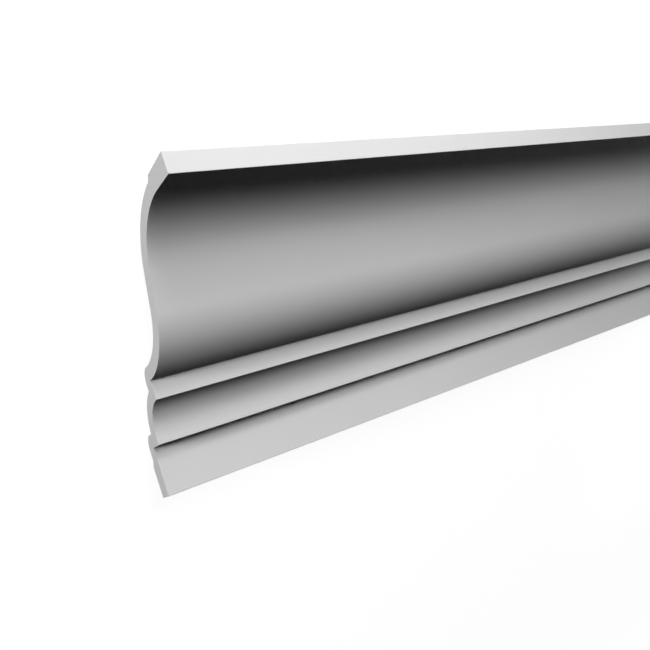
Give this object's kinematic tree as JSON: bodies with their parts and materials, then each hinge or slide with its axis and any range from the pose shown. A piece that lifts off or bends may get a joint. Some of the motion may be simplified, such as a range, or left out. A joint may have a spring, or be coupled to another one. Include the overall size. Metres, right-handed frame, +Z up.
{
  "type": "cornice moulding",
  "caption": "Straight length of hollow-backed cornice moulding with a cyma recta face, cove, flat foot band and flat glue lands for wall and ceiling.",
  "frame": {"origin": "middle of the length and of the width, on the floor that the moulding lies on", "axes": "+X along the length, out of the end that is on the left when it is fixed and seen from the room; +Z up from the floor, out of the moulded face; the ceiling lip is on the -Y side and the wall foot on the +Y side"},
  "size_m": [2, 0.1708, 0.0283],
  "materials": {
    "primed_foam": "matt white factory primer on dense extruded foam"
  },
  "bodies": {
    "root": {"cornice_length": "primed_foam"}
  },
  "joints": []
}
